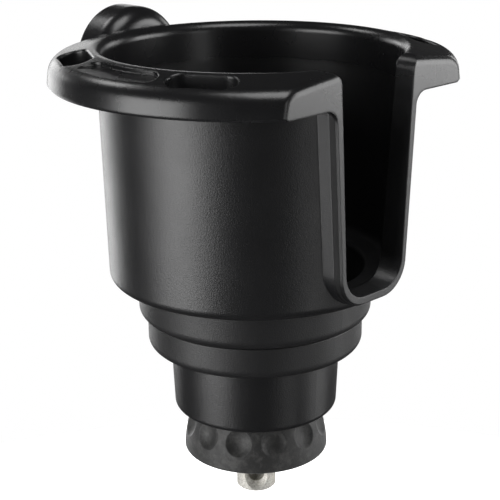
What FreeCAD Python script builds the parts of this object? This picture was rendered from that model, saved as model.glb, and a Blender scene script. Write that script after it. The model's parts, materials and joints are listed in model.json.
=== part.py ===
"""Swivelling cup holder on a half inch stud. Millimetres, +Z up along the cup's axis.

The origin is the centre of the stud's lower end. The mug handle slot faces -Y and the rear boss +Y.
"""
import FreeCAD, Part
import math
import os

import Sketcher

DIMENSIONS = {
    # shared: how far joined solids overlap, how far cutters run on, gap left round pressed parts
    "overlap": 1.0,
    "cutter_rise": 5.0,
    "cutter_reach": 20.0,
    "press_gap": 0.02,
    # cup shell, outside
    "cup_bottom_radius": 43.55,
    "cup_bottom_height": 71.6,
    "cup_top_radius": 44.9,
    "cup_bottom_round": 2.75,
    "first_step_radius": 35.1,
    "first_step_draft": 0.3,
    "first_step_height": 59.6,
    "first_step_round": 3.0,
    "liner_radius": 31.2,
    "liner_bottom_height": 52.6,
    # mouth ring
    "ring_bottom_height": 130.5,
    "ring_radius": 59.0,
    "ring_top_radius": 58.2,
    "ring_edge_height": 137.8,
    "ring_edge_round": 5.0,
    "ring_root_round": 1.5,
    "ring_lower_bevel": 0.8,
    "chord_distance": 46.8,
    "wing_edge_round": 2.4,
    "crest_height": 141.2,
    "crest_round": 2.9,
    "crest_overlap": 2.0,
    # cup shell, inside
    "mouth_radius": 43.2,
    "main_floor_radius": 40.5,
    "main_floor_height": 75.2,
    "main_floor_round": 3.0,
    "can_well_top_radius": 33.0,
    "can_well_radius": 32.6,
    "can_well_height": 62.8,
    "lower_well_top_radius": 30.0,
    "lower_well_radius": 29.6,
    "lower_well_height": 55.6,
    "well_edge_round": 1.2,
    # mug handle slot, its lip and the raised band beside it
    "slot_top_half_width": 14.75,
    "slot_bottom_half_width": 12.0,
    "slot_bottom_height": 76.4,
    "slot_corner_round": 8.0,
    "slot_mouth_round": 4.0,
    "slot_mouth_height": 140.3,
    "lip_width": 1.5,
    "lip_bottom_width": 2.1,
    "lip_root": 36.0,
    "lip_top_overlap": 3.0,
    "lip_flare_round": 4.0,
    "band_top_half_width": 18.3,
    "band_bottom_half_width": 15.2,
    "band_bottom_height": 73.4,
    "band_corner_round": 12.0,
    "band_front": 46.0,
    "band_facet_depth": 0.8,
    "band_facet_width": 2.0,
    # tool slots and trays in the ring
    "tool_slot_circle": 51.0,
    "tool_slot_half_length": 9.4,
    "tool_slot_half_width": 4.0,
    "tool_slot_round": 3.9,
    "tool_slot_rim_round": 0.6,
    "tray_inner_radius": 47.9,
    "tray_outer_radius": 55.6,
    "tray_floor_height": 142.75,
    "tray_tilt": 4.5,
    "tray_sweep": 32.0,
    "tray_corner_round": 3.5,
    # rear boss
    "boss_radius": 16.9,
    "boss_height": 129.6,
    "boss_inner_end": 47.0,
    "boss_outer_end": 60.5,
    "boss_inner_round": 6.0,
    "boss_outer_round": 0.4,
    "boss_neck_root": 40.9,
    "boss_neck_top": 134.0,
    "boss_neck_overlap": 4.0,
    "boss_insert_radius": 5.5,
    "boss_insert_bore": 3.4,
    "boss_insert_length": 12.0,
    # base housing: second step and tube
    "second_step_radius": 32.65,
    "second_step_top": 59.42,
    "second_step_height": 49.6,
    "second_step_round": 2.9,
    "seam_lip_round": 0.35,
    "housing_bore": 31.25,
    "housing_ledge_height": 52.5,
    "tube_top_radius": 25.85,
    "tube_bottom_radius": 24.95,
    "tube_bottom_height": 29.1,
    "tube_bottom_round": 1.85,
    "tube_bore_top": 23.2,
    "tube_bore_bottom": 22.4,
    "tube_floor_height": 33.1,
    "sleeve_radius": 9.2,
    "sleeve_top": 38.0,
    "recess_radius": 10.5,
    "recess_height": 30.9,
    "screw_circle": 18.7,
    "screw_post_radius": 3.6,
    "screw_pilot_radius": 1.6,
    "screw_pilot_depth": 14.0,
    "screw_length": 14.0,
    "screw_radius": 1.55,
    "screw_head_radius": 3.3,
    "screw_head_depth": 1.9,
    "screw_recess": 1.0,
    "screw_recess_inset": 1.2,
    "screw_recess_half_width": 0.45,
    "screw_point": 2.0,
    "screw_clearance": 0.15,
    "screw_head_clearance": 0.1,
    # bushes
    "bush_bore": 5.05,
    "bush_radius": 6.45,
    "bush_flange_radius": 9.0,
    "bush_flange": 1.25,
    "bush_gap": 0.2,
    # stud
    "spigot_radius": 6.325,
    "spigot_edge_round": 0.5,
    "spigot_relief_radius": 6.12,
    "spigot_relief_top": 9.2,
    "spigot_top": 16.0,
    "thread_radius": 6.3,
    "thread_depth": 0.55,
    "thread_pitch": 1.95,
    "thread_land": 0.2,
    "thread_flank": 0.7,
    "thread_root": 0.2,
    "shoulder_height": 28.0,
    "journal_radius": 5.0,
    "journal_top": 42.4,
    "stud_top_radius": 4.9,
    "stud_top": 51.2,
    "stud_chamfer": 0.8,
    "cross_hole_radius": 2.5,
    "cross_hole_height": 5.3,
    "cross_hole_sink": 3.55,
    "cross_hole_reach": 2.0,
    "cross_hole_azimuth": 45.0,
    "stop_groove_radius": 5.4,
    "stop_groove_bottom": 13.3,
    "stop_groove_width": 1.2,
    "stop_ring_radius": 8.4,
    "stop_ring_thickness": 1.0,
    "stop_ring_gap": 6.0,
    "stop_ring_clearance": 0.1,
    "stop_ring_bore_gap": 0.05,
    "stop_ring_cut": 5.0,
    # washers and nut on the stud
    "washer_bore": 5.1,
    "washer_radius": 9.0,
    "thrust_washer_thickness": 1.5,
    "axial_play": 0.1,
    "nut_washer_thickness": 1.6,
    "spring_washer_height": 1.3,
    "spring_washer_thickness": 0.8,
    "nut_radius": 9.24,
    "nut_bore": 4.95,
    "nut_height": 6.0,
    "nut_collar_radius": 7.3,
    "nut_collar_height": 2.2,
    "nut_chamfer": 0.9,
    "lock_ring_radius": 6.4,
    "lock_ring_height": 1.7,
    # hand knob
    "knob_bottom_height": 14.6,
    "knob_top_height": 28.0,
    "knob_bottom_radius": 22.3,
    "knob_top_radius": 19.3,
    "knob_bell_radius": 34.0,
    "knob_bottom_round": 0.6,
    "knob_core_radius": 17.0,
    "knob_flange_radius": 18.4,
    "knob_flange_thickness": 1.6,
    "knob_dish_radius": 13.0,
    "knob_dish_flare": 2.0,
    "knob_core_inset": 0.2,
    "dimple_height": 25.4,
    "dimple_circle": 20.2,
    "dimple_sphere": 7.3,
    "dimple_depth": 1.1,
    "dimple_count": 12,
    "dimple_edge_round": 0.4,
    "insert_radius": 9.0,
    "insert_bore": 6.35,
    "insert_flange_radius": 10.6,
    "insert_flange": 1.5,
    "insert_bottom": 17.3,
    "insert_top": 27.4,
    "insert_gap": 0.3,
    "friction_washer_bore": 11.0,
    "friction_washer_radius": 18.0,
    "friction_washer_bottom": 28.1,
    "friction_washer_thickness": 0.7,
    # mat
    "mat_radius": 29.2,
    "mat_thickness": 1.4,
    "mat_rib_height": 0.5,
    "mat_rib_width": 1.6,
}

TOOL_SLOT_AZIMUTHS = (30, 150, 210, 330)
SCREW_AZIMUTHS = (45, 135, 225, 315)
MAT_RIB_SHARES = (0.9, 0.65, 0.4)
ABOVE_RING = 150.0
BEYOND_RING = 75.0
NEAR = 0.05

doc = FreeCAD.newDocument("CupHolder")
sheet = doc.addObject("Spreadsheet::Sheet", "Dims")
for row, (alias, number) in enumerate(DIMENSIONS.items(), start=1):
    sheet.set("A%d" % row, alias)
    sheet.set("B%d" % row, str(number))
    sheet.setAlias("B%d" % row, alias)
doc.recompute()

parts = []


def cell(alias):
    """Value of one driving dimension, read from the sheet."""
    return float(sheet.get(alias))


def number(expression):
    """Present value of an expression in the sheet's aliases."""
    result = sheet.evalExpression(expression)
    return float(getattr(result, "Value", result))


def new_body(label):
    body = doc.addObject("PartDesign::Body", label)
    body.Label = label
    return body


def origin_plane(body, role):
    return next(item for item in body.Origin.OriginFeatures if item.Role == role)


def new_sketch(body, role, name, offset=None):
    """Sketch on one of the body's origin planes, moved along its normal by an expression."""
    sketch = body.newObject("Sketcher::SketchObject", name)
    sketch.AttachmentSupport = [(origin_plane(body, role), "")]
    sketch.MapMode = "FlatFace"
    if offset:
        sketch.setExpression("AttachmentOffset.Base.z", offset)
    return sketch


def place_point(sketch, geometry, end, x, y):
    """Hold one point of a sketch at two expressions."""
    for kind, on_axis, expression in (("DistanceX", -2, x), ("DistanceY", -1, y)):
        distance = number(expression)
        if abs(distance) < 1e-9:
            sketch.addConstraint(Sketcher.Constraint("PointOnObject", geometry, end, on_axis))
            continue
        if distance > 0:
            ends = (-1, 1, geometry, end)
            bound = expression
        else:
            ends = (geometry, end, -1, 1)
            bound = "-(%s)" % expression
        index = sketch.addConstraint(Sketcher.Constraint(kind, *ends, abs(distance)))
        sketch.setExpression("Constraints[%d]" % index, bound)


def arc_centre(start, finish, radius):
    """Centre of the arc from start to finish; a positive radius turns anticlockwise."""
    across = finish - start
    rise = math.sqrt(radius * radius - across.Length * across.Length / 4)
    normal = FreeCAD.Vector(-across.y, across.x, 0).normalize()
    return start + across / 2 + normal * (rise if radius > 0 else -rise)


def add_side(sketch, start, finish, radius):
    """One side of an outline: a line, or an arc where a radius is given."""
    if not radius:
        return sketch.addGeometry(Part.LineSegment(start, finish)), 1, 2
    size = number(radius)
    centre = arc_centre(start, finish, size)
    circle = Part.Circle(centre, FreeCAD.Vector(0, 0, 1), abs(size))
    first, last = (start, finish) if size > 0 else (finish, start)
    arc = Part.ArcOfCircle(circle, circle.parameter(first), circle.parameter(last))
    index = sketch.addGeometry(arc)
    fixed = sketch.addConstraint(Sketcher.Constraint("Radius", index, abs(size)))
    sketch.setExpression("Constraints[%d]" % fixed, "abs(%s)" % radius)
    return (index, 1, 2) if size > 0 else (index, 2, 1)


def add_outline(sketch, corners):
    """Closed outline. A corner is (x, y), or (x, y, radius) where an arc leaves it."""
    vectors = [FreeCAD.Vector(number(c[0]), number(c[1]), 0) for c in corners]
    sides = []
    for index, corner in enumerate(corners):
        following = vectors[(index + 1) % len(vectors)]
        radius = corner[2] if len(corner) > 2 else None
        sides.append(add_side(sketch, vectors[index], following, radius))
    for index, (geometry, start, _) in enumerate(sides):
        previous, _, finish = sides[index - 1]
        sketch.addConstraint(Sketcher.Constraint("Coincident", previous, finish, geometry, start))
        place_point(sketch, geometry, start, corners[index][0], corners[index][1])


def add_circle(sketch, x, y, radius):
    centre = FreeCAD.Vector(number(x), number(y), 0)
    circle = Part.Circle(centre, FreeCAD.Vector(0, 0, 1), number(radius))
    index = sketch.addGeometry(circle)
    fixed = sketch.addConstraint(Sketcher.Constraint("Radius", index, number(radius)))
    sketch.setExpression("Constraints[%d]" % fixed, radius)
    place_point(sketch, index, 3, x, y)


def d(*aliases):
    """Expression that names sheet cells: d("a", "-b", "+2") gives Dims.a-Dims.b+2."""
    words = []
    for item in aliases:
        sign = item[0] if item[0] in "+-" else ""
        rest = item[len(sign):]
        words.append(sign + (rest if rest[0].isdigit() else "Dims." + rest))
    return "".join(words)


def mirrored(corner):
    """An outline corner on the other side of the upright axis."""
    across = "0" if corner[0] == "0" else "-(%s)" % corner[0]
    return (across,) + tuple(corner[1:2]) + tuple("-(%s)" % radius for radius in corner[2:])


def turn(body, name, corners, kind="PartDesign::Revolution"):
    """Turn an outline about the Z axis. A solid's seam is at -Y and a groove's at +Y."""
    sketch = new_sketch(body, "YZ_Plane", name + "_outline")
    if kind == "PartDesign::Revolution":
        corners = [mirrored(corner) for corner in corners]
    add_outline(sketch, corners)
    feature = body.newObject(kind, name)
    feature.Profile = sketch
    feature.ReferenceAxis = (sketch, ["V_Axis"])
    feature.Angle = 360.0
    feature.Refine = False
    body.Tip = feature
    doc.recompute()
    return feature


def extrude(body, name, sketch, kind, length, reverse=False, both=False):
    feature = body.newObject(kind, name)
    feature.Profile = sketch
    feature.Type = 0
    feature.Refine = False
    feature.setExpression("Length", length)
    feature.Reversed = reverse
    feature.Midplane = both
    body.Tip = feature
    doc.recompute()
    return feature


def cut_checked(feature, before):
    """Stop if a cutting feature removed nothing."""
    if not feature.Shape.Volume < before - 1e-6:
        raise RuntimeError("%s cut nothing" % feature.Name)


def round_edges(body, name, wanted, radius):
    """Fillet the edges of the body's tip that the test accepts."""
    tip = body.Tip
    names = ["Edge%d" % (i + 1) for i, edge in enumerate(tip.Shape.Edges) if wanted(edge)]
    if not names:
        raise RuntimeError("%s found no edge" % name)
    fillet = body.newObject("PartDesign::Fillet", name)
    fillet.Base = (tip, names)
    fillet.setExpression("Radius", radius)
    fillet.Refine = False
    body.Tip = fillet
    doc.recompute()
    if "Invalid" in fillet.State or "Error" in fillet.State:
        raise RuntimeError("%s failed on %s" % (name, names))
    return fillet


def ring_edge(radius, height):
    """Test for an edge that lies on one circle about the Z axis."""
    target_radius = number(radius)
    target_height = number(height)

    def wanted(edge):
        start, finish = edge.ParameterRange
        for share in (0.1, 0.5, 0.9):
            point = edge.valueAt(start + (finish - start) * share)
            if abs(math.hypot(point.x, point.y) - target_radius) > NEAR:
                return False
            if abs(point.z - target_height) > NEAR:
                return False
        return True

    return wanted


def edge_points(edge):
    """Both ends and the middle of an edge."""
    start, finish = edge.ParameterRange
    return [edge.valueAt(start + (finish - start) * share) for share in (0.0, 0.5, 1.0)]


def fused(base, tool):
    """Join two overlapping solids."""
    joined = doc.addObject("Part::Fuse", "joined_%s" % tool.Name)
    joined.Base = base
    joined.Tool = tool
    joined.Refine = False
    doc.recompute()
    return joined


def keep(thing, label):
    """Note an object as one of the finished sub-parts."""
    thing.Label = label
    parts.append(thing)
    return thing


def turned_part(label, corners):
    """A sub-part that is one turned section."""
    body = new_body(label)
    turn(body, label + "_turned", corners)
    return keep(body, label)


# ---------------------------------------------------------------- cup shell


def u_corners(half_top, half_bottom, top, bottom, corner_round):
    """U outline: straight drafted sides, round lower corners, flat top. Clockwise from top left."""
    turn_height = "(%s)+%s" % (bottom, corner_round)
    side = "(%s)" % half_bottom
    flat = "(%s)-%s" % (half_bottom, corner_round)
    return [
        ("-(%s)" % half_top, top),
        ("-%s" % side, turn_height, corner_round),
        ("-(%s)" % flat, bottom),
        (flat, bottom, corner_round),
        (side, turn_height),
        (half_top, top),
    ]


def make_cup_outside():
    """Cup, first step, liner and ring, turned solid."""
    body = new_body("cup_outside")
    fall = "(%s)" % d("crest_height", "-ring_edge_height")
    slope = "%s/(%s)" % (fall, d("ring_top_radius", "-mouth_radius"))
    peak = "%s+%s*%s" % (d("crest_height"), d("crest_overlap"), slope)
    turn(body, "cup_turned", [
        ("0", d("liner_bottom_height")),
        (d("liner_radius"), d("liner_bottom_height")),
        (d("liner_radius"), d("first_step_height")),
        (d("first_step_radius"), d("first_step_height")),
        (d("first_step_radius", "+first_step_draft"), d("cup_bottom_height")),
        (d("cup_bottom_radius"), d("cup_bottom_height")),
        (d("cup_top_radius"), d("ring_bottom_height")),
        (d("ring_radius", "-ring_lower_bevel"), d("ring_bottom_height")),
        (d("ring_radius"), d("ring_bottom_height", "+ring_lower_bevel")),
        (d("ring_top_radius"), d("ring_edge_height")),
        (d("mouth_radius", "-crest_overlap"), peak),
        ("0", peak),
    ])
    rounds = (
        ("cup_bottom_fillet", "cup_bottom_radius", "cup_bottom_height", "cup_bottom_round"),
        ("first_step_fillet", "first_step_radius", "first_step_height", "first_step_round"),
        ("ring_edge_fillet", "ring_top_radius", "ring_edge_height", "ring_edge_round"),
        ("ring_root_fillet", "cup_top_radius", "ring_bottom_height", "ring_root_round"),
    )
    for name, radius, height, size in rounds:
        round_edges(body, name, ring_edge(d(radius), d(height)), d(size))
    return body


def make_lip():
    """Upright U of plastic that frames the handle slot, flaring into the ring above."""
    body = new_body("slot_lip")
    sketch = new_sketch(body, "XZ_Plane", "slot_lip_outline", d("chord_distance"))
    outer_top = d("slot_top_half_width", "+lip_width")
    outer_bottom = d("slot_bottom_half_width", "+lip_width")
    bottom = d("slot_bottom_height", "-lip_bottom_width")
    corners = u_corners(outer_top, outer_bottom, d("ring_bottom_height", "-lip_flare_round"),
                        bottom, "(%s)" % d("slot_corner_round", "+lip_width"))
    flare_x = d("slot_top_half_width", "+lip_width", "+lip_flare_round")
    under_ring = d("ring_bottom_height")
    inside_ring = d("ring_bottom_height", "+lip_top_overlap")
    corners[-1] = corners[-1] + ("-(%s)" % d("lip_flare_round"),)
    corners += [
        (flare_x, under_ring),
        (flare_x, inside_ring),
        ("-(%s)" % flare_x, inside_ring),
        ("-(%s)" % flare_x, under_ring, "-(%s)" % d("lip_flare_round")),
    ]
    add_outline(sketch, corners)
    extrude(body, "slot_lip_pad", sketch, "PartDesign::Pad", d("chord_distance", "-lip_root"),
            reverse=True)
    return body


def make_band():
    """Raised band round the lip, with a sloping facet along its outer edge."""
    body = new_body("slot_band")
    sketch = new_sketch(body, "XZ_Plane", "band_outline", d("band_front"))
    add_outline(sketch, u_corners(d("band_top_half_width"), d("band_bottom_half_width"),
                                  d("ring_bottom_height", "+lip_top_overlap"), d("band_bottom_height"),
                                  d("band_corner_round")))
    pad = extrude(body, "band_pad", sketch, "PartDesign::Pad", d("band_front", "-lip_root"), reverse=True)
    front = -cell("band_front")
    names = []
    for index, edge in enumerate(pad.Shape.Edges):
        if edge.CenterOfMass.y < front + NEAR and edge.CenterOfMass.z < cell("ring_bottom_height"):
            names.append("Edge%d" % (index + 1))
    facet = body.newObject("PartDesign::Chamfer", "band_facet")
    facet.Base = (pad, names)
    facet.ChamferType = 1
    facet.setExpression("Size", d("band_facet_width"))
    facet.setExpression("Size2", d("band_facet_depth"))
    facet.FlipDirection = True
    facet.Refine = False
    body.Tip = facet
    doc.recompute()
    return body


def make_boss():
    """Round drum across the back of the ring, with a neck that joins the cup's wall below it."""
    body = new_body("rear_boss")
    drum = new_sketch(body, "XZ_Plane", "drum_outline", "-(%s)" % d("boss_inner_end"))
    add_circle(drum, "0", d("boss_height"), d("boss_radius"))
    extrude(body, "drum_pad", drum, "PartDesign::Pad", d("boss_outer_end", "-boss_inner_end"),
            reverse=True)

    def end_edge(distance):
        return lambda edge: abs(edge.CenterOfMass.y - cell(distance)) < NEAR and len(edge.Vertexes) < 2

    round_edges(body, "drum_inner_fillet", end_edge("boss_inner_end"), d("boss_inner_round"))
    round_edges(body, "drum_outer_fillet", end_edge("boss_outer_end"), d("boss_outer_round"))
    neck = new_sketch(body, "XZ_Plane", "neck_outline", "-(%s)" % d("boss_neck_root"))
    rise = d("boss_neck_top", "-boss_height")
    half = "sqrt((%s)^2-(%s)^2)" % (d("boss_radius"), rise)
    low = d("boss_height", "-boss_radius")
    add_outline(neck, [
        ("-%s" % half, d("boss_neck_top"), d("boss_radius")),
        ("0", low, d("boss_radius")),
        (half, d("boss_neck_top")),
    ])
    length = d("boss_inner_end", "-boss_neck_root", "+boss_neck_overlap")
    extrude(body, "neck_pad", neck, "PartDesign::Pad", length, reverse=True)
    return body


def cut_inside(body):
    """Stepped well for mugs and cans, open at the mouth."""
    before = body.Shape.Volume
    wall_rise = "(%s)" % d("crest_height", "-main_floor_height")
    lean = "(%s)/%s" % (d("mouth_radius", "-main_floor_radius"), wall_rise)
    feature = turn(body, "well", [
        ("0", d("lower_well_height")),
        (d("lower_well_radius"), d("lower_well_height")),
        (d("lower_well_top_radius"), d("can_well_height")),
        (d("can_well_radius"), d("can_well_height")),
        (d("can_well_top_radius"), d("main_floor_height")),
        (d("main_floor_radius"), d("main_floor_height")),
        ("%s+%s*%s" % (d("mouth_radius"), d("cutter_rise"), lean), d("crest_height", "+cutter_rise")),
        ("0", d("crest_height", "+cutter_rise")),
    ], kind="PartDesign::Groove")
    cut_checked(feature, before)
    rounds = (
        ("main_floor_fillet", "main_floor_radius", "main_floor_height", "main_floor_round"),
        ("can_well_edge", "can_well_top_radius", "main_floor_height", "well_edge_round"),
        ("lower_well_edge", "lower_well_top_radius", "can_well_height", "well_edge_round"),
        ("crest_fillet", "mouth_radius", "crest_height", "crest_round"),
    )
    for name, radius, height, size in rounds:
        round_edges(body, name, ring_edge(d(radius), d(height)), d(size))


def cut_chord(body):
    """Flat front of the ring, which leaves a wing on each side of the handle slot."""
    before = body.Shape.Volume
    sketch = new_sketch(body, "XY_Plane", "chord_outline", d("ring_bottom_height", "-overlap"))
    beyond = str(BEYOND_RING)
    add_outline(sketch, [
        ("-" + beyond, "-" + beyond),
        (beyond, "-" + beyond),
        (beyond, "-(%s)" % d("chord_distance")),
        ("-" + beyond, "-(%s)" % d("chord_distance")),
    ])
    feature = extrude(body, "chord_cut", sketch, "PartDesign::Pocket", d("cutter_reach"), reverse=True)
    cut_checked(feature, before)


def cut_handle_slot(body):
    """U slot through the front wall, rounded over where it meets the top of the ring."""
    before = body.Shape.Volume
    sketch = new_sketch(body, "XZ_Plane", "handle_slot_outline", str(BEYOND_RING))
    mouth = d("slot_mouth_round")
    top = d("slot_mouth_height")
    corners = u_corners(d("slot_top_half_width"), d("slot_bottom_half_width"),
                        d("slot_mouth_height", "-slot_mouth_round"), d("slot_bottom_height"),
                        d("slot_corner_round"))
    wide = d("slot_top_half_width", "+slot_mouth_round")
    corners[-1] = corners[-1] + ("-(%s)" % mouth,)
    corners += [
        (wide, top),
        (wide, str(ABOVE_RING)),
        ("-(%s)" % wide, str(ABOVE_RING)),
        ("-(%s)" % wide, top, "-(%s)" % mouth),
    ]
    add_outline(sketch, corners)
    feature = extrude(body, "handle_slot", sketch, "PartDesign::Pocket", str(BEYOND_RING))
    cut_checked(feature, before)


def tilted(x, y, azimuth):
    """A point given along and across a direction, as a pair of expressions."""
    return (
        "(%s)*cos(%s)-(%s)*sin(%s)" % (x, azimuth, y, azimuth),
        "(%s)*sin(%s)+(%s)*cos(%s)" % (x, azimuth, y, azimuth),
    )


def tool_slot_corners(azimuth):
    """Rounded rectangle across the ring's radius at one azimuth."""
    circle = d("tool_slot_circle")
    half_length = d("tool_slot_half_length")
    half_width = d("tool_slot_half_width")
    corner = d("tool_slot_round")
    corners = []
    for out, along in ((1, -1), (1, 1), (-1, 1), (-1, -1)):
        wide = "%s%+d*%s" % (circle, out, half_width)
        inset = "%s%+d*(%s-%s)" % (circle, out, half_width, corner)
        long = "%+d*%s" % (along, half_length)
        short = "%+d*(%s-%s)" % (along, half_length, corner)
        pair = [(inset, long), (wide, short)]
        if out * along > 0:
            pair.reverse()
        first, second = (tilted(x, y, azimuth) for x, y in pair)
        corners += [first + (corner,), second]
    return corners


def tool_slot_rim(edge):
    """Test for an edge round the top of one tool slot."""
    reach = cell("tool_slot_half_length") + 2 * cell("tool_slot_rim_round")
    points = edge_points(edge)
    if min(point.z for point in points) < cell("ring_bottom_height") + cell("cutter_rise"):
        return False
    for azimuth in TOOL_SLOT_AZIMUTHS:
        x = cell("tool_slot_circle") * math.cos(math.radians(azimuth))
        y = cell("tool_slot_circle") * math.sin(math.radians(azimuth))
        if all(math.hypot(point.x - x, point.y - y) < reach for point in points):
            return True
    return False


def cut_tool_slots(body):
    """Four slots down through the ring, each along the ring's circle."""
    before = body.Shape.Volume
    sketch = new_sketch(body, "XY_Plane", "tool_slot_outlines", d("ring_bottom_height", "-overlap"))
    for azimuth in TOOL_SLOT_AZIMUTHS:
        add_outline(sketch, tool_slot_corners(azimuth))
    feature = extrude(body, "tool_slots", sketch, "PartDesign::Pocket", d("cutter_reach"), reverse=True)
    cut_checked(feature, before)
    round_edges(body, "tool_slot_rims", tool_slot_rim, d("tool_slot_rim_round"))


def tray_corners(azimuth):
    """Ring sector with rounded corners, centred on one azimuth."""
    inner = d("tray_inner_radius")
    outer = d("tray_outer_radius")
    corner = d("tray_corner_round")
    half = "%s/2*1 deg" % d("tray_sweep")
    inner_centre = "(%s+%s)" % (inner, corner)
    outer_centre = "(%s-%s)" % (outer, corner)
    inner_turn = "asin(%s/%s)" % (corner, inner_centre)
    outer_turn = "asin(%s/%s)" % (corner, outer_centre)

    def at(radius, angle):
        return ("%s*cos(%s)" % (radius, angle), "%s*sin(%s)" % (radius, angle))

    inner_side = "sqrt(%s^2-%s^2)" % (inner_centre, corner)
    outer_side = "sqrt(%s^2-%s^2)" % (outer_centre, corner)
    low = "(%d deg-%s)" % (azimuth, half)
    high = "(%d deg+%s)" % (azimuth, half)
    return [
        at(outer_side, low) + (corner,),
        at(outer, "(%s+%s)" % (low, outer_turn)) + (outer,),
        at(outer, "(%s-%s)" % (high, outer_turn)) + (corner,),
        at(outer_side, high),
        at(inner_side, high) + (corner,),
        at(inner, "(%s-%s)" % (high, inner_turn)) + ("-(%s)" % inner,),
        at(inner, "(%s+%s)" % (low, inner_turn)) + (corner,),
        at(inner_side, low),
    ]


def cut_trays(body):
    """Shallow tray in the ring on each side of the cup, its floor sloping outwards like the ring."""
    for azimuth, tilt in ((0, "%s"), (180, "-(%s)")):
        before = body.Shape.Volume
        sketch = new_sketch(body, "XY_Plane", "tray_outline_%d" % azimuth, d("tray_floor_height"))
        sketch.AttachmentOffset = FreeCAD.Placement(
            sketch.AttachmentOffset.Base, FreeCAD.Rotation(FreeCAD.Vector(0, 1, 0), cell("tray_tilt")))
        sketch.setExpression("AttachmentOffset.Rotation.Angle", tilt % d("tray_tilt"))
        add_outline(sketch, tray_corners(azimuth))
        feature = extrude(body, "tray_%d" % azimuth, sketch, "PartDesign::Pocket", d("cutter_reach"),
                          reverse=True)
        cut_checked(feature, before)


def cut_boss_seat(body):
    """Seat for the threaded insert in the boss's outer end."""
    before = body.Shape.Volume
    sketch = new_sketch(body, "XZ_Plane", "boss_seat_outline", "-(%s)" % d("boss_outer_end"))
    add_circle(sketch, "0", d("boss_height"), d("boss_insert_radius"))
    feature = extrude(body, "boss_seat", sketch, "PartDesign::Pocket", d("boss_insert_length"),
                      reverse=True)
    cut_checked(feature, before)


def cut_screw_seats(body):
    """Countersunk holes through the liner's floor."""
    before = body.Shape.Volume
    sketch = new_sketch(body, "XY_Plane", "screw_seat_outlines", d("lower_well_height"))
    for azimuth in SCREW_AZIMUTHS:
        x = "%s*cos(%d)" % (d("screw_circle"), azimuth)
        y = "%s*sin(%d)" % (d("screw_circle"), azimuth)
        add_circle(sketch, x, y, d("screw_radius", "+screw_clearance"))
    feature = body.newObject("PartDesign::Hole", "screw_seats")
    feature.Profile = sketch
    feature.Threaded = False
    feature.Refine = False
    feature.setExpression("Diameter", "2*(%s)" % d("screw_radius", "+screw_clearance"))
    feature.DepthType = 1
    feature.HoleCutType = 2
    feature.HoleCutCustomValues = True
    feature.setExpression("HoleCutDiameter", "2*(%s)" % d("screw_head_radius", "+screw_head_clearance"))
    feature.HoleCutCountersinkAngle = 90.0
    body.Tip = feature
    doc.recompute()
    cut_checked(feature, before)


def round_wings(body):
    """Soft edges round the top and side of the wings' flat ends."""
    chord = -cell("chord_distance")
    low = cell("ring_bottom_height") + cell("overlap")
    wide = cell("slot_top_half_width") + cell("slot_mouth_round") - NEAR

    def wing_end(edge):
        points = edge_points(edge)
        on_chord = all(abs(point.y - chord) < NEAR for point in points)
        outside = all(abs(point.x) > wide for point in points)
        return on_chord and outside and edge.CenterOfMass.z > low

    round_edges(body, "wing_fillet", wing_end, d("wing_edge_round"))


def make_cup_shell():
    blank = make_cup_outside()
    for piece in (make_boss(), make_band(), make_lip()):
        blank = fused(blank, piece)
    body = new_body("cup_shell")
    body.BaseFeature = blank
    doc.recompute()
    cut_inside(body)
    cut_chord(body)
    cut_handle_slot(body)
    cut_trays(body)
    cut_tool_slots(body)
    cut_boss_seat(body)
    cut_screw_seats(body)
    round_wings(body)
    return keep(body, "cup_shell")


# ---------------------------------------------------------------- base housing


def circles_round(body, name, radius, circle, height, azimuths):
    """Sketch of equal circles on a pitch circle."""
    sketch = new_sketch(body, "XY_Plane", name, height)
    for azimuth in azimuths:
        add_circle(sketch, "%s*cos(%d)" % (circle, azimuth), "%s*sin(%d)" % (circle, azimuth), radius)
    return sketch


def make_base_housing():
    """Second step and tube, with a sleeve for the bushes and posts for the screws."""
    body = new_body("base_housing")
    turn(body, "housing_turned", [
        (d("bush_radius", "+press_gap"), d("recess_height")),
        (d("recess_radius"), d("recess_height")),
        (d("recess_radius"), d("tube_bottom_height")),
        (d("tube_bottom_radius"), d("tube_bottom_height")),
        (d("tube_top_radius"), d("second_step_height")),
        (d("second_step_radius"), d("second_step_height")),
        (d("second_step_radius"), d("second_step_top")),
        (d("housing_bore"), d("second_step_top")),
        (d("housing_bore"), d("housing_ledge_height")),
        (d("tube_bore_top"), d("housing_ledge_height")),
        (d("tube_bore_bottom"), d("tube_floor_height")),
        (d("sleeve_radius"), d("tube_floor_height")),
        (d("sleeve_radius"), d("sleeve_top")),
        (d("bush_radius", "+press_gap"), d("sleeve_top")),
    ])
    rounds = (
        ("tube_bottom_fillet", "tube_bottom_radius", "tube_bottom_height", "tube_bottom_round"),
        ("second_step_fillet", "second_step_radius", "second_step_height", "second_step_round"),
        ("second_step_lip", "second_step_radius", "second_step_top", "seam_lip_round"),
    )
    for name, radius, height, size in rounds:
        round_edges(body, name, ring_edge(d(radius), d(height)), d(size))
    posts = circles_round(body, "post_outlines", d("screw_post_radius"), d("screw_circle"),
                          d("tube_floor_height", "-overlap"), SCREW_AZIMUTHS)
    length = d("housing_ledge_height", "-tube_floor_height", "+overlap")
    extrude(body, "posts", posts, "PartDesign::Pad", length)
    before = body.Shape.Volume
    pilots = circles_round(body, "pilot_outlines", d("screw_pilot_radius"), d("screw_circle"),
                           d("housing_ledge_height"), SCREW_AZIMUTHS)
    feature = extrude(body, "pilots", pilots, "PartDesign::Pocket", d("screw_pilot_depth"))
    cut_checked(feature, before)
    return keep(body, "base_housing")


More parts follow.
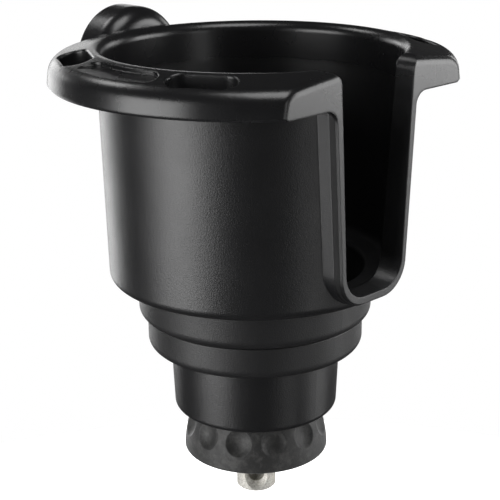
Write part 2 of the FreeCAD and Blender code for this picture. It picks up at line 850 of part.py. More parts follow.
def make_screw(azimuth):
    """One countersunk screw with a cross recess, head flush with the liner's floor."""
    body = new_body("screw_%d" % azimuth)
    head = d("lower_well_height")
    turn(body, body.Name + "_turned", [
        ("0", head),
        (d("screw_head_radius"), head),
        (d("screw_radius"), d("lower_well_height", "-screw_head_depth")),
        (d("screw_radius"), d("lower_well_height", "-screw_length", "+screw_point")),
        ("0", d("lower_well_height", "-screw_length")),
    ])
    before = body.Shape.Volume
    arm = d("screw_head_radius", "-screw_recess_inset")
    half = d("screw_recess_half_width")
    sketch = new_sketch(body, "XY_Plane", body.Name + "_recess_outline", head)
    add_outline(sketch, [
        (half, half), (half, arm), ("-" + half, arm), ("-" + half, half),
        ("-(%s)" % arm, half), ("-(%s)" % arm, "-" + half), ("-" + half, "-" + half),
        ("-" + half, "-(%s)" % arm), (half, "-(%s)" % arm), (half, "-" + half),
        (arm, "-" + half), (arm, half),
    ])
    feature = extrude(body, body.Name + "_recess", sketch, "PartDesign::Pocket", d("screw_recess"))
    cut_checked(feature, before)
    body.setExpression("Placement.Base.x", "%s*cos(%d)" % (d("screw_circle"), azimuth))
    body.setExpression("Placement.Base.y", "%s*sin(%d)" % (d("screw_circle"), azimuth))
    return body


def make_housing_screws():
    group = doc.addObject("Part::Compound", "housing_screws")
    group.Links = [make_screw(azimuth) for azimuth in SCREW_AZIMUTHS]
    doc.recompute()
    return keep(group, "housing_screws")


def make_floor_mat():
    """Rubber mat with raised rings, loose on the bottom of the well."""
    floor = d("lower_well_height")
    top = d("lower_well_height", "+mat_thickness")
    rib_top = d("lower_well_height", "+mat_thickness", "+mat_rib_height")
    corners = [("0", floor), (d("mat_radius"), floor), (d("mat_radius"), top)]
    for share in MAT_RIB_SHARES:
        outer = "%s*%s" % (d("mat_radius"), share)
        inner = "%s-%s" % (outer, d("mat_rib_width"))
        corners += [(outer, top), (outer, rib_top), (inner, rib_top), (inner, top)]
    corners.append(("0", top))
    return turned_part("floor_mat", corners)


def make_boss_insert():
    """Threaded brass insert, flush with the boss's outer end."""
    body = new_body("boss_insert")
    start = d("boss_outer_end", "-boss_insert_length")
    sketch = new_sketch(body, "XZ_Plane", "boss_insert_outline", "-(%s)" % start)
    add_circle(sketch, "0", d("boss_height"), d("boss_insert_radius", "-press_gap"))
    add_circle(sketch, "0", d("boss_height"), d("boss_insert_bore"))
    extrude(body, "boss_insert_pad", sketch, "PartDesign::Pad", d("boss_insert_length"), reverse=True)
    return keep(body, "boss_insert")


# ---------------------------------------------------------------- stud and what sits on it


def stud_corners():
    """Relieved spigot, stop ring groove, thread crests and roots, journal and nut thread."""
    corners = [
        ("0", "0"),
        (d("spigot_relief_radius", "-spigot_edge_round"), "0", "-(%s)" % d("spigot_edge_round")),
        (d("spigot_relief_radius"), d("spigot_edge_round")),
        (d("spigot_relief_radius"), d("spigot_relief_top")),
        (d("spigot_radius"), d("spigot_relief_top")),
        (d("spigot_radius"), d("stop_groove_bottom")),
        (d("stop_groove_radius"), d("stop_groove_bottom")),
        (d("stop_groove_radius"), d("stop_groove_bottom", "+stop_groove_width")),
        (d("spigot_radius"), d("stop_groove_bottom", "+stop_groove_width")),
        (d("spigot_radius"), d("spigot_top")),
    ]
    room = cell("shoulder_height") - cell("spigot_top") - cell("overlap")
    root = d("thread_radius", "-thread_depth")
    for turn_index in range(int(room / cell("thread_pitch"))):
        foot = "%s+%d*%s+%s" % (d("spigot_top"), turn_index, d("thread_pitch"), d("thread_land"))
        root_start = "%s+%s" % (foot, d("thread_flank"))
        root_end = "%s+%s" % (root_start, d("thread_root"))
        corners += [
            (d("thread_radius"), foot),
            (root, root_start),
            (root, root_end),
            (d("thread_radius"), "%s+%s" % (root_end, d("thread_flank"))),
        ]
    corners += [
        (d("thread_radius"), d("shoulder_height")),
        (d("journal_radius"), d("shoulder_height")),
        (d("journal_radius"), d("journal_top")),
        (d("stud_top_radius"), d("journal_top")),
        (d("stud_top_radius"), d("stud_top", "-stud_chamfer")),
        (d("stud_top_radius", "-stud_chamfer"), d("stud_top")),
        ("0", d("stud_top")),
    ]
    return corners


def make_stud():
    """Steel stud with a countersunk cross hole through its spigot."""
    body = new_body("mounting_stud")
    turn(body, "stud_turned", stud_corners())
    before = body.Shape.Volume
    sink = "(%s)" % d("cross_hole_sink", "-cross_hole_radius")
    surface = "sqrt(%s^2-%s^2)" % (d("spigot_relief_radius"), d("cross_hole_sink"))
    sketch = new_sketch(body, "XZ_Plane", "cross_hole_outline")
    hole = d("cross_hole_height")
    reach = d("cross_hole_reach")
    beyond = "%s+%s" % (surface, reach)
    corners = [
        ("-(%s)" % beyond, hole),
        ("-(%s)" % beyond, "%s+%s+%s" % (hole, d("cross_hole_sink"), reach)),
        ("-%s" % surface, "%s+%s" % (hole, d("cross_hole_sink"))),
        ("-(%s-%s)" % (surface, sink), "%s+%s" % (hole, d("cross_hole_radius"))),
        ("%s-%s" % (surface, sink), "%s+%s" % (hole, d("cross_hole_radius"))),
        (surface, "%s+%s" % (hole, d("cross_hole_sink"))),
        (beyond, "%s+%s+%s" % (hole, d("cross_hole_sink"), reach)),
        (beyond, hole),
    ]
    add_outline(sketch, corners)
    feature = body.newObject("PartDesign::Groove", "cross_hole")
    feature.Profile = sketch
    feature.ReferenceAxis = (sketch, ["Edge%d" % len(corners)])
    feature.Angle = 360.0
    feature.Refine = False
    body.Tip = feature
    doc.recompute()
    cut_checked(feature, before)
    body.setExpression("Placement.Rotation.Angle", d("cross_hole_azimuth"))
    return keep(body, "mounting_stud")


def make_ring(label, inner, outer, bottom, thickness):
    """Plain flat ring."""
    return turned_part(label, [
        (inner, bottom),
        (outer, bottom),
        (outer, "%s+%s" % (bottom, thickness)),
        (inner, "%s+%s" % (bottom, thickness)),
    ])


def make_bushes():
    """Two flanged bushes, one from each end of the housing's sleeve."""
    middle = "(%s)/2" % d("recess_height", "+sleeve_top")
    lower_end = "%s-%s/2" % (middle, d("bush_gap"))
    upper_end = "%s+%s/2" % (middle, d("bush_gap"))
    turned_part("lower_bush", [
        (d("bush_bore"), d("recess_height", "-bush_flange")),
        (d("bush_flange_radius"), d("recess_height", "-bush_flange")),
        (d("bush_flange_radius"), d("recess_height")),
        (d("bush_radius"), d("recess_height")),
        (d("bush_radius"), lower_end),
        (d("bush_bore"), lower_end),
    ])
    turned_part("upper_bush", [
        (d("bush_bore"), upper_end),
        (d("bush_radius"), upper_end),
        (d("bush_radius"), d("sleeve_top")),
        (d("bush_flange_radius"), d("sleeve_top")),
        (d("bush_flange_radius"), d("sleeve_top", "+bush_flange")),
        (d("bush_bore"), d("sleeve_top", "+bush_flange")),
    ])


def make_stop_ring():
    """Open spring ring in the stud's groove, which the loosened knob comes down against."""
    body = new_body("knob_stop_ring")
    inner = d("stop_groove_radius", "+stop_ring_bore_gap")
    bottom = d("stop_groove_bottom", "+stop_ring_clearance")
    top = d("stop_groove_bottom", "+stop_ring_clearance", "+stop_ring_thickness")
    turn(body, "stop_ring_turned", [
        (inner, bottom),
        (d("stop_ring_radius"), bottom),
        (d("stop_ring_radius"), top),
        (inner, top),
    ])
    before = body.Shape.Volume
    sketch = new_sketch(body, "XY_Plane", "stop_ring_gap_outline", d("stop_groove_bottom"))
    half = "%s/2" % d("stop_ring_gap")
    far = d("cutter_reach")
    add_outline(sketch, [(half, "0"), (half, far), ("-" + half, far), ("-" + half, "0")])
    feature = extrude(body, "stop_ring_opening", sketch, "PartDesign::Pocket", d("stop_ring_cut"),
                      reverse=True)
    cut_checked(feature, before)
    return keep(body, "knob_stop_ring")


def make_spring_washer(bottom):
    """Coned disc spring."""
    top = "%s+%s" % (bottom, d("spring_washer_height"))
    thick = d("spring_washer_thickness")
    return turned_part("spring_washer", [
        (d("washer_bore"), "%s-%s" % (top, thick)),
        (d("washer_radius"), bottom),
        (d("washer_radius"), "%s+%s" % (bottom, thick)),
        (d("washer_bore"), top),
    ])


def make_nut(bottom):
    """Hexagon lock nut with chamfered corners and a collar for its nylon ring."""
    body = new_body("stud_nut")
    sketch = new_sketch(body, "XY_Plane", "nut_outline", bottom)
    corners = []
    for corner in range(6):
        angle = 60 * corner
        corners.append(("%s*cos(%d)" % (d("nut_radius"), angle), "%s*sin(%d)" % (d("nut_radius"), angle)))
    add_outline(sketch, corners)
    extrude(body, "nut_hexagon", sketch, "PartDesign::Pad", d("nut_height"))
    top = "%s+%s" % (bottom, d("nut_height"))
    before = body.Shape.Volume
    chamfer = d("nut_chamfer")
    above = "%s+%s" % (top, d("overlap"))
    feature = turn(body, "nut_corners", [
        ("%s-%s" % (d("nut_radius"), chamfer), above),
        ("%s-%s" % (d("nut_radius"), chamfer), top),
        (d("nut_radius", "+overlap"), "%s-%s" % (top, chamfer)),
        (d("nut_radius", "+overlap"), above),
    ], kind="PartDesign::Groove")
    cut_checked(feature, before)
    collar_top = "%s+%s" % (top, d("nut_collar_height"))
    turn(body, "nut_collar", [
        ("0", "%s-%s" % (top, d("overlap"))),
        (d("nut_collar_radius"), "%s-%s" % (top, d("overlap"))),
        (d("nut_collar_radius"), collar_top),
        ("0", collar_top),
    ])
    before = body.Shape.Volume
    feature = turn(body, "nut_bore", [
        ("0", "%s-%s" % (bottom, d("overlap"))),
        (d("nut_bore"), "%s-%s" % (bottom, d("overlap"))),
        (d("nut_bore"), top),
        (d("lock_ring_radius"), top),
        (d("lock_ring_radius"), "%s+%s" % (collar_top, d("overlap"))),
        ("0", "%s+%s" % (collar_top, d("overlap"))),
    ], kind="PartDesign::Groove")
    cut_checked(feature, before)
    keep(body, "stud_nut")
    ring_side = d("lock_ring_radius", "-press_gap")
    make_ring("nut_lock_ring", d("nut_bore"), ring_side, top, d("lock_ring_height"))


def make_stud_stack():
    """Everything that stays with the stud."""
    make_stud()
    make_stop_ring()
    make_ring("thrust_washer", d("washer_bore"), d("washer_radius"), d("shoulder_height"),
              d("thrust_washer_thickness"))
    nut_washer = d("sleeve_top", "+bush_flange", "+axial_play")
    make_ring("nut_washer", d("washer_bore"), d("washer_radius"), nut_washer, d("nut_washer_thickness"))
    spring = "%s+%s" % (nut_washer, d("nut_washer_thickness"))
    make_spring_washer(spring)
    make_nut("%s+%s" % (spring, d("spring_washer_height")))


# ---------------------------------------------------------------- hand knob


def dimple_edge(edge):
    """Test for an edge that lies on one of the dimples' spheres."""
    out = number(d("dimple_circle", "-dimple_depth", "+dimple_sphere"))
    count = int(cell("dimple_count"))
    for index in range(count):
        angle = 2 * math.pi * index / count
        centre = FreeCAD.Vector(out * math.cos(angle), out * math.sin(angle), cell("dimple_height"))
        lengths = [(point - centre).Length for point in edge_points(edge)]
        if all(abs(length - cell("dimple_sphere")) < NEAR for length in lengths):
            return True
    return False


def make_knob_grip():
    """Bell-shaped rubber skin with a ring of finger dimples."""
    body = new_body("knob_grip")
    core = d("knob_core_radius", "+press_gap")
    flange = d("knob_flange_radius", "+press_gap")
    under_flange = d("knob_top_height", "-knob_flange_thickness")
    turn(body, "grip_turned", [
        (core, d("knob_bottom_height")),
        (d("knob_bottom_radius"), d("knob_bottom_height"), d("knob_bell_radius")),
        (d("knob_top_radius"), d("knob_top_height")),
        (flange, d("knob_top_height")),
        (flange, under_flange),
        (core, under_flange),
    ])
    round_edges(body, "grip_bottom_fillet",
                ring_edge(d("knob_bottom_radius"), d("knob_bottom_height")), d("knob_bottom_round"))
    before = body.Shape.Volume
    dimple = body.newObject("PartDesign::SubtractiveSphere", "dimple")
    dimple.Refine = False
    dimple.setExpression("Radius", d("dimple_sphere"))
    dimple.AttachmentSupport = [(origin_plane(body, "XY_Plane"), "")]
    dimple.MapMode = "FlatFace"
    out = d("dimple_circle", "-dimple_depth", "+dimple_sphere")
    dimple.setExpression("AttachmentOffset.Base.x", out)
    dimple.setExpression("AttachmentOffset.Base.z", d("dimple_height"))
    body.Tip = dimple
    doc.recompute()
    pattern = body.newObject("PartDesign::PolarPattern", "dimples")
    pattern.Originals = [dimple]
    pattern.Axis = (origin_plane(body, "Z_Axis"), [""])
    pattern.Angle = 360.0
    pattern.Refine = False
    pattern.setExpression("Occurrences", d("dimple_count"))
    body.Tip = pattern
    doc.recompute()
    cut_checked(pattern, before)
    round_edges(body, "dimple_edges", dimple_edge, d("dimple_edge_round"))
    return keep(body, "knob_grip")


def make_knob_core():
    """Stiff core: bottom dish, seat for the insert and a flange under the friction washer."""
    return turned_part("knob_core", [
        (d("insert_radius", "+press_gap"), d("insert_bottom", "-insert_gap")),
        (d("knob_dish_radius"), d("insert_bottom", "-insert_gap")),
        (d("knob_dish_radius", "+knob_dish_flare"), d("knob_bottom_height", "+knob_core_inset")),
        (d("knob_core_radius"), d("knob_bottom_height", "+knob_core_inset")),
        (d("knob_core_radius"), d("knob_top_height", "-knob_flange_thickness")),
        (d("knob_flange_radius"), d("knob_top_height", "-knob_flange_thickness")),
        (d("knob_flange_radius"), d("knob_top_height")),
        (d("insert_flange_radius", "+insert_gap"), d("knob_top_height")),
        (d("insert_flange_radius", "+insert_gap"), d("insert_top", "-insert_flange")),
        (d("insert_radius", "+press_gap"), d("insert_top", "-insert_flange")),
    ])


def make_knob_insert():
    """Flanged brass nut moulded into the core."""
    return turned_part("knob_insert", [
        (d("insert_bore"), d("insert_bottom")),
        (d("insert_radius"), d("insert_bottom")),
        (d("insert_radius"), d("insert_top", "-insert_flange")),
        (d("insert_flange_radius"), d("insert_top", "-insert_flange")),
        (d("insert_flange_radius"), d("insert_top")),
        (d("insert_bore"), d("insert_top")),
    ])


def check_document():
    """Stop if any object failed or any sub-part is not a sound solid."""
    for item in doc.Objects:
        if "Invalid" in item.State or "Error" in item.State:
            raise RuntimeError("%s failed: %s" % (item.Name, item.State))
    for part in parts:
        if part.Shape.isNull() or not part.Shape.isValid() or not part.Shape.Solids:
            raise RuntimeError("%s is not a sound solid" % part.Label)


def write_parts():
    os.makedirs("parts", exist_ok=True)
    for part in parts:
        part.Shape.exportStep("parts/%s.step" % part.Label)
        print("%-18s %d solid(s) %10.1f mm3" % (part.Label, len(part.Shape.Solids), part.Shape.Volume))


make_cup_shell()
make_base_housing()
make_housing_screws()
make_floor_mat()
make_boss_insert()
make_bushes()
make_stud_stack()
make_knob_grip()
make_knob_core()
make_knob_insert()
make_ring("friction_washer", d("friction_washer_bore"), d("friction_washer_radius"),
          d("friction_washer_bottom"), d("friction_washer_thickness"))
doc.recompute()
check_document()
write_parts()
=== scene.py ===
"""Looks for the swivelling cup holder: materials, light and camera, in metres."""

import json
import math

import bpy
from mathutils import Euler, Matrix, Vector


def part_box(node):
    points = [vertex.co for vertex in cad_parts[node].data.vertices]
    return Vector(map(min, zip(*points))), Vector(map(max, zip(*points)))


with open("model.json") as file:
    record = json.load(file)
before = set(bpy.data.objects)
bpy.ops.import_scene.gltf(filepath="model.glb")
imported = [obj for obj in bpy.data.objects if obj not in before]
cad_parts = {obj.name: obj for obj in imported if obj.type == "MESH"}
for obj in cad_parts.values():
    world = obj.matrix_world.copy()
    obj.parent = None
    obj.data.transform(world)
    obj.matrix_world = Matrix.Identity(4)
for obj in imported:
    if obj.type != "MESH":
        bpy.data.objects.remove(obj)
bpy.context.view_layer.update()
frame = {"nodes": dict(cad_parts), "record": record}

MM = 0.001
MICRON = 0.001 * MM

# the stud's cross hole, the turn that lays its axis along X, and the fade of the painted shade at its rim
HOLE_HEIGHT = 5.3 * MM
HOLE_RADIUS = 2.5 * MM
HOLE_TURN = math.radians(-45.0)
HOLE_SHADE_FULL = HOLE_RADIUS - 0.1 * MM
HOLE_SHADE_GONE = HOLE_RADIUS + 0.15 * MM

# heights where the black plastic's finish changes, and the height that a change takes;
# the grain ends just under the ring, measured from the shell's foot
GRAIN_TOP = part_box("cup_shell")[0].z + 77.0 * MM
STEPS_TOP = 73.0 * MM
STEPS_BOTTOM = 49.0 * MM
FINISH_FADE = 2.0 * MM

# radii of the soft edges that the materials draw
BODY_EDGE = 0.5 * MM
RING_EDGE = 0.8 * MM
KNOB_EDGE = 0.4 * MM
STUD_EDGE = 0.25 * MM
BEVEL_SAMPLES = 6

# heights of the bumps at full strength
PLASTIC_GRAIN = 110.0 * MICRON
PLASTIC_WAVES = 600.0 * MICRON
RUBBER_GRAIN = 80.0 * MICRON
CAST_GRAIN = 140.0 * MICRON
CAST_PITS = 100.0 * MICRON
FINE_GRAIN = 30.0 * MICRON

# camera: place, lens and sensor in mm, and its turns
CAMERA_PLACE = (-0.2637, -0.2624, 0.2011)
CAMERA_LENS = 93.6
CAMERA_SENSOR = 36.0
CAMERA_TILT = math.radians(90.0 - 18.27)
CAMERA_HEADING = math.radians(-44.93)
CAMERA_ROLL = math.radians(-0.5)

# the lights' azimuths are measured from the heading of the camera, seen from the cup's axis
CAMERA_SIDE = -135.0
LIGHT_AIM = Vector((0.0, 0.0, 0.09))

# name, azimuth to the camera's right and elevation in degrees, distance, width and height, power in watts
LIGHTS = (
    ("left_box", -56.0, -3.0, 0.9, (0.62, 0.9), 12.5),
    ("left_rim_box", -142.0, -3.0, 1.0, (0.5, 0.8), 3.6),
    ("back_box", -166.0, 9.0, 1.0, (0.5, 0.22), 0.6),
    ("right_box", 45.0, -6.0, 0.9, (0.22, 0.9), 1.5),
    ("wing_box", 94.0, 9.0, 0.9, (0.5, 0.62), 6.6),
    ("lip_box", 94.0, -24.0, 0.9, (0.45, 0.3), 1.0),
    ("right_rim_box", 142.0, 0.0, 1.0, (0.4, 0.8), 2.4),
    ("top_box", 30.0, 72.0, 1.1, (0.6, 0.6), 7.5),
    ("slot_box", -125.0, 47.0, 1.0, (0.3, 0.2), 1.6),
)

# strength of the surroundings as light and as seen by the camera, and the floor
BACKDROP_LIGHT = 0.045
BACKDROP_SEEN = 1.0
FLOOR_HEIGHT = -0.18
FLOOR_RADIUS = 0.42
FLOOR_GLOW = 0.75


# ---------------------------------------------------------------- node helpers


class Shader:
    """A material's node tree, with short calls for the nodes that the finishes share."""

    def __init__(self, name):
        self.material = bpy.data.materials.new(name)
        self.material.use_nodes = True
        self.tree = self.material.node_tree
        self.surface = self.tree.nodes["Principled BSDF"]
        coordinates = self.tree.nodes.new("ShaderNodeTexCoord")
        self.place = coordinates.outputs["Object"]

    def link(self, value, socket):
        """Set a socket to a number, or join another node's output to it."""
        if isinstance(value, (int, float)):
            socket.default_value = value
        else:
            self.tree.links.new(value, socket)

    def noise(self, scale, detail=2.0, roughness=0.5, place=None):
        """Even clouds of 0 to 1, about scale of them in a metre."""
        node = self.tree.nodes.new("ShaderNodeTexNoise")
        node.inputs["Scale"].default_value = scale
        node.inputs["Detail"].default_value = detail
        node.inputs["Roughness"].default_value = roughness
        self.tree.links.new(place or self.place, node.inputs["Vector"])
        return node.outputs["Fac"]

    def cells(self, scale):
        """0 at the middle of each cell, more towards its sides."""
        node = self.tree.nodes.new("ShaderNodeTexVoronoi")
        node.inputs["Scale"].default_value = scale
        self.tree.links.new(self.place, node.inputs["Vector"])
        return node.outputs["Distance"]

    def stretched(self, scale):
        """The place with each of its three directions scaled."""
        node = self.tree.nodes.new("ShaderNodeMapping")
        node.inputs["Scale"].default_value = scale
        self.tree.links.new(self.place, node.inputs["Vector"])
        return node.outputs["Vector"]

    def height(self):
        node = self.tree.nodes.new("ShaderNodeSeparateXYZ")
        self.tree.links.new(self.place, node.inputs["Vector"])
        return node.outputs["Z"]

    def remap(self, value, low, high, to_low, to_high, smooth=False):
        node = self.tree.nodes.new("ShaderNodeMapRange")
        node.interpolation_type = "SMOOTHSTEP" if smooth else "LINEAR"
        limits = (low, high, to_low, to_high)
        for name, limit in zip(("From Min", "From Max", "To Min", "To Max"), limits):
            node.inputs[name].default_value = limit
        self.link(value, node.inputs["Value"])
        return node.outputs["Result"]

    def spread(self, value, to_low, to_high):
        """Noise stays near 0.5, so its usual range is stretched over the wanted one."""
        return self.remap(value, 0.3, 0.7, to_low, to_high)

    def below(self, top):
        """1 below a height and 0 above it, with a short fade under it."""
        return self.remap(self.height(), top - FINISH_FADE, top, 1.0, 0.0, smooth=True)

    def above(self, bottom):
        """0 below a height and 1 above it, with a short fade over it."""
        return self.remap(self.height(), bottom, bottom + FINISH_FADE, 0.0, 1.0, smooth=True)

    def math(self, operation, first, second):
        node = self.tree.nodes.new("ShaderNodeMath")
        node.operation = operation
        self.link(first, node.inputs[0])
        self.link(second, node.inputs[1])
        return node.outputs[0]

    def product(self, first, second):
        return self.math("MULTIPLY", first, second)

    def total(self, *values):
        result = values[0]
        for value in values[1:]:
            result = self.math("ADD", result, value)
        return result

    def blend(self, share, first, second):
        """First colour at share 0, second colour at share 1."""
        node = self.tree.nodes.new("ShaderNodeMix")
        node.data_type = "RGBA"
        self.link(share, node.inputs["Factor"])
        for socket, colour in ((node.inputs["A"], first), (node.inputs["B"], second)):
            if isinstance(colour, tuple):
                socket.default_value = (*colour, 1.0)
            else:
                self.tree.links.new(colour, socket)
        return node.outputs["Result"]

    def bump(self, height, distance, strength, below=None):
        """Normal with small bumps, laid over the normal below it."""
        node = self.tree.nodes.new("ShaderNodeBump")
        node.inputs["Distance"].default_value = distance
        self.link(strength, node.inputs["Strength"])
        self.tree.links.new(height, node.inputs["Height"])
        if below:
            self.tree.links.new(below, node.inputs["Normal"])
        return node.outputs["Normal"]

    def bevel(self, radius):
        """Normal that turns smoothly over every edge."""
        node = self.tree.nodes.new("ShaderNodeBevel")
        node.samples = BEVEL_SAMPLES
        self.link(radius, node.inputs["Radius"])
        return node.outputs["Normal"]

    def edges(self, low, high):
        """1 on convex edges, 0 on flats and hollows."""
        node = self.tree.nodes.new("ShaderNodeNewGeometry")
        return self.remap(node.outputs["Pointiness"], low, high, 0.0, 1.0)

    def inside_hole(self):
        """1 on the walls of the stud's cross hole, 0 outside it."""
        turned = self.tree.nodes.new("ShaderNodeMapping")
        turned.inputs["Rotation"].default_value = (0.0, 0.0, HOLE_TURN)
        turned.inputs["Location"].default_value = (0.0, 0.0, -HOLE_HEIGHT)
        self.tree.links.new(self.place, turned.inputs["Vector"])
        across = self.tree.nodes.new("ShaderNodeVectorMath")
        across.operation = "MULTIPLY"
        across.inputs[1].default_value = (0.0, 1.0, 1.0)
        self.tree.links.new(turned.outputs["Vector"], across.inputs[0])
        reach = self.tree.nodes.new("ShaderNodeVectorMath")
        reach.operation = "LENGTH"
        self.tree.links.new(across.outputs["Vector"], reach.inputs[0])
        return self.remap(reach.outputs["Value"], HOLE_SHADE_FULL, HOLE_SHADE_GONE, 1.0, 0.0)

    def set(self, name, value):
        """Give the surface a colour, a number or another node's output."""
        socket = self.surface.inputs[name]
        if isinstance(value, tuple):
            socket.default_value = (*value, 1.0)
        else:
            self.link(value, socket)


# ---------------------------------------------------------------- materials


def moulded_plastic(name):
    """Black moulded plastic: grained below the ring, smoother on it, and duller on the steps."""
    look = Shader(name)
    grained = look.below(GRAIN_TOP)
    steps = look.product(look.below(STEPS_TOP), look.above(STEPS_BOTTOM))

    tone = look.blend(look.noise(35.0, detail=4.0), (0.0042, 0.0042, 0.0046), (0.0072, 0.0072, 0.0077))
    worn = look.product(look.edges(0.53, 0.62), look.noise(260.0, detail=3.0))
    look.set("Base Color", look.blend(look.product(worn, 0.35), tone, (0.05, 0.05, 0.052)))

    patchy = look.spread(look.noise(90.0, detail=3.0), -0.02, 0.02)
    sparkle = look.product(grained, look.spread(look.noise(2600.0, detail=1.0), -0.025, 0.05))
    uneven = look.total(patchy, sparkle, look.product(steps, 0.15))
    look.set("Roughness", look.total(look.product(grained, 0.05), uneven, 0.27))
    look.set("Specular IOR Level", 0.4)

    soft_edges = look.bevel(look.remap(grained, 0.0, 1.0, RING_EDGE, BODY_EDGE))
    strength = look.remap(grained, 0.0, 1.0, 0.1, 0.6)
    grain = look.bump(look.noise(2700.0, roughness=0.7), PLASTIC_GRAIN, strength, below=soft_edges)
    look.set("Normal", look.bump(look.noise(45.0), PLASTIC_WAVES, 0.06, below=grain))
    return look.material


def knob_rubber():
    """Dull black rubber with dust caught in its grain."""
    look = Shader("knob_rubber")
    tone = look.blend(look.noise(60.0, detail=3.0), (0.007, 0.007, 0.007), (0.012, 0.012, 0.0117))
    dust = look.remap(look.noise(260.0, detail=7.0, roughness=0.75), 0.47, 0.62, 0.0, 1.0)
    look.set("Base Color", look.blend(look.product(dust, 0.45), tone, (0.055, 0.054, 0.052)))
    look.set("Roughness", look.spread(look.noise(500.0, detail=3.0), 0.5, 0.62))
    look.set("Specular IOR Level", 0.32)
    look.set("Sheen Weight", 0.12)
    look.set("Sheen Roughness", 0.5)
    grain = look.noise(2200.0, detail=3.0, roughness=0.6)
    look.set("Normal", look.bump(grain, RUBBER_GRAIN, 0.7, below=look.bevel(KNOB_EDGE)))
    return look.material


def mat_rubber():
    """Matte rubber with a cellular grain."""
    look = Shader("mat_rubber")
    tone = look.blend(look.noise(120.0, detail=4.0), (0.012, 0.012, 0.012), (0.022, 0.022, 0.022))
    look.set("Base Color", tone)
    look.set("Roughness", look.spread(look.noise(400.0), 0.6, 0.75))
    look.set("Normal", look.bump(look.cells(1400.0), RUBBER_GRAIN, 0.6))
    return look.material


def cast_steel():
    """Plated steel with a coarse cast grain, dark pits and olive painted shade inside its hole."""
    look = Shader("stud_steel")
    grain = look.noise(1500.0, detail=5.0, roughness=0.7)
    pits = look.remap(look.cells(1700.0), 0.0, 0.35, 1.0, 0.0, smooth=True)

    tone = look.blend(look.remap(grain, 0.35, 0.65, 0.0, 1.0), (0.3, 0.29, 0.26), (0.6, 0.585, 0.55))
    speckled = look.blend(look.product(pits, 0.75), tone, (0.1, 0.09, 0.072))
    tarnish = look.remap(look.noise(240.0, detail=4.0), 0.45, 0.75, 0.0, 0.45)
    worn = look.blend(tarnish, speckled, (0.34, 0.32, 0.26))
    # painted shade: the walls of the cross hole are coloured dark olive
    look.set("Base Color", look.blend(look.inside_hole(), worn, (0.1, 0.092, 0.058)))

    look.set("Metallic", 0.45)
    look.set("Roughness", look.spread(grain, 0.66, 0.5))
    pitted = look.bump(pits, CAST_PITS, -0.5, below=look.bevel(STUD_EDGE))
    look.set("Normal", look.bump(grain, CAST_GRAIN, 0.9, below=pitted))
    return look.material


def turned_metal(name, dark, light, roughness):
    """Machined or pressed metal with fine rings of tool marks and a little tarnish."""
    look = Shader(name)
    lines = look.noise(900.0, roughness=0.6, place=look.stretched((0.3, 0.3, 6.0)))
    tarnish = look.remap(look.noise(180.0, detail=4.0), 0.4, 0.7, 0.0, 0.6)
    look.set("Base Color", look.blend(tarnish, light, dark))
    look.set("Metallic", 1.0)
    look.set("Roughness", look.spread(lines, roughness - 0.06, roughness + 0.08))
    look.set("Normal", look.bump(lines, FINE_GRAIN, 0.4))
    return look.material


def smooth_polymer(name, dark, light, roughness=0.42):
    """Smooth plastic or nylon that takes in a little light."""
    look = Shader(name)
    look.set("Base Color", look.blend(look.noise(150.0, detail=4.0), dark, light))
    look.set("Roughness", look.spread(look.noise(500.0), roughness - 0.05, roughness + 0.06))
    look.set("Subsurface Weight", 0.05)
    look.set("Normal", look.bump(look.noise(1800.0), FINE_GRAIN, 0.4))
    return look.material


def make_materials():
    return {
        "black_plastic": moulded_plastic("black_plastic"),
        "black_plastic_lower": moulded_plastic("black_plastic_lower"),
        "knob_rubber": knob_rubber(),
        "mat_rubber": mat_rubber(),
        "core_plastic": smooth_polymer("core_plastic", (0.02, 0.02, 0.02), (0.035, 0.035, 0.035), 0.5),
        "grey_nylon": smooth_polymer("grey_nylon", (0.28, 0.28, 0.27), (0.38, 0.38, 0.36)),
        "white_nylon": smooth_polymer("white_nylon", (0.68, 0.66, 0.6), (0.8, 0.79, 0.74)),
        "blue_nylon": smooth_polymer("blue_nylon", (0.05, 0.11, 0.32), (0.08, 0.17, 0.42)),
        "stud_steel": cast_steel(),
        "zinc_steel": turned_metal("zinc_steel", (0.42, 0.42, 0.43), (0.72, 0.72, 0.74), 0.3),
        "spring_steel": turned_metal("spring_steel", (0.12, 0.12, 0.13), (0.3, 0.3, 0.32), 0.34),
        "brass": turned_metal("brass", (0.42, 0.27, 0.09), (0.85, 0.63, 0.28), 0.28),
    }


def dress_cad_nodes(materials):
    """Every CAD node gets the finish of its slot."""
    slots = {part["node"]: part["material_slot"] for part in frame["record"]["subparts"]}
    for name, node in frame["nodes"].items():
        node.data.materials.clear()
        node.data.materials.append(materials[slots[name]])


# ---------------------------------------------------------------- stage


def make_camera():
    """Long lens, a little above the mouth, in front of the left wing."""
    camera_data = bpy.data.cameras.new("camera")
    camera_data.lens = CAMERA_LENS
    camera_data.sensor_width = CAMERA_SENSOR
    camera = bpy.data.objects.new("camera", camera_data)
    camera.location = CAMERA_PLACE
    level = Euler((CAMERA_TILT, 0.0, CAMERA_HEADING)).to_matrix()
    camera.rotation_euler = (level @ Matrix.Rotation(CAMERA_ROLL, 3, "Z")).to_euler()
    bpy.context.scene.collection.objects.link(camera)
    bpy.context.scene.camera = camera


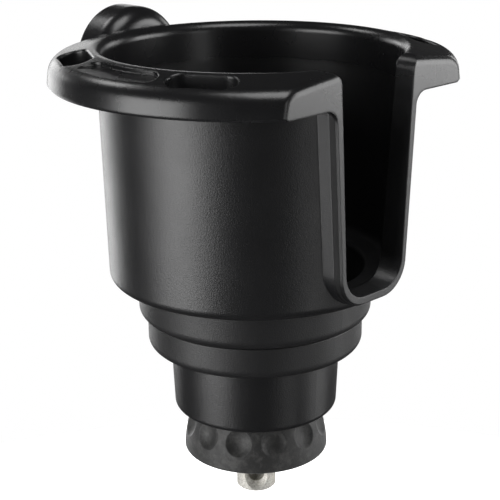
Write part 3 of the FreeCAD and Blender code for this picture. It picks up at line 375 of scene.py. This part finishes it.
def soft_box(name, azimuth, elevation, distance, size, power):
    """Area light that faces the object."""
    light = bpy.data.lights.new(name, "AREA")
    light.shape = "RECTANGLE"
    light.size, light.size_y = size
    light.energy = power
    lamp = bpy.data.objects.new(name, light)
    heading = math.radians(CAMERA_SIDE + azimuth)
    rise = math.radians(elevation)
    level = math.cos(rise)
    out = Vector((math.cos(heading) * level, math.sin(heading) * level, math.sin(rise)))
    lamp.location = LIGHT_AIM + out * distance
    lamp.rotation_mode = "QUATERNION"
    lamp.rotation_quaternion = out.to_track_quat("Z", "Y")
    lamp.visible_camera = False
    bpy.context.scene.collection.objects.link(lamp)


def make_lights():
    for light in LIGHTS:
        soft_box(*light)


def make_world():
    """White surroundings for the camera, dim ones for light and reflections."""
    world = bpy.data.worlds.new("studio")
    world.use_nodes = True
    tree = world.node_tree
    background = tree.nodes["Background"]
    background.inputs["Color"].default_value = (1.0, 1.0, 1.0, 1.0)
    seen = tree.nodes.new("ShaderNodeLightPath")
    level = tree.nodes.new("ShaderNodeMapRange")
    level.inputs["To Min"].default_value = BACKDROP_LIGHT
    level.inputs["To Max"].default_value = BACKDROP_SEEN
    tree.links.new(seen.outputs["Is Camera Ray"], level.inputs["Value"])
    tree.links.new(level.outputs["Result"], background.inputs["Strength"])
    bpy.context.scene.world = world


def make_floor():
    """Pale round floor below the stud."""
    place = (0.0, 0.0, FLOOR_HEIGHT)
    bpy.ops.mesh.primitive_circle_add(vertices=128, radius=FLOOR_RADIUS, fill_type="NGON", location=place)
    floor = bpy.context.object
    floor.name = "floor"
    look = Shader("floor")
    look.set("Base Color", look.blend(look.noise(3.0), (0.9, 0.9, 0.9), (0.93, 0.93, 0.93)))
    look.set("Roughness", 0.9)
    look.set("Emission Color", (1.0, 1.0, 1.0))
    look.set("Emission Strength", FLOOR_GLOW)
    floor.data.materials.append(look.material)
    floor.visible_glossy = False


bpy.context.scene.view_settings.view_transform = "Standard"
make_camera()
make_lights()
make_world()
make_floor()
dress_cad_nodes(make_materials())
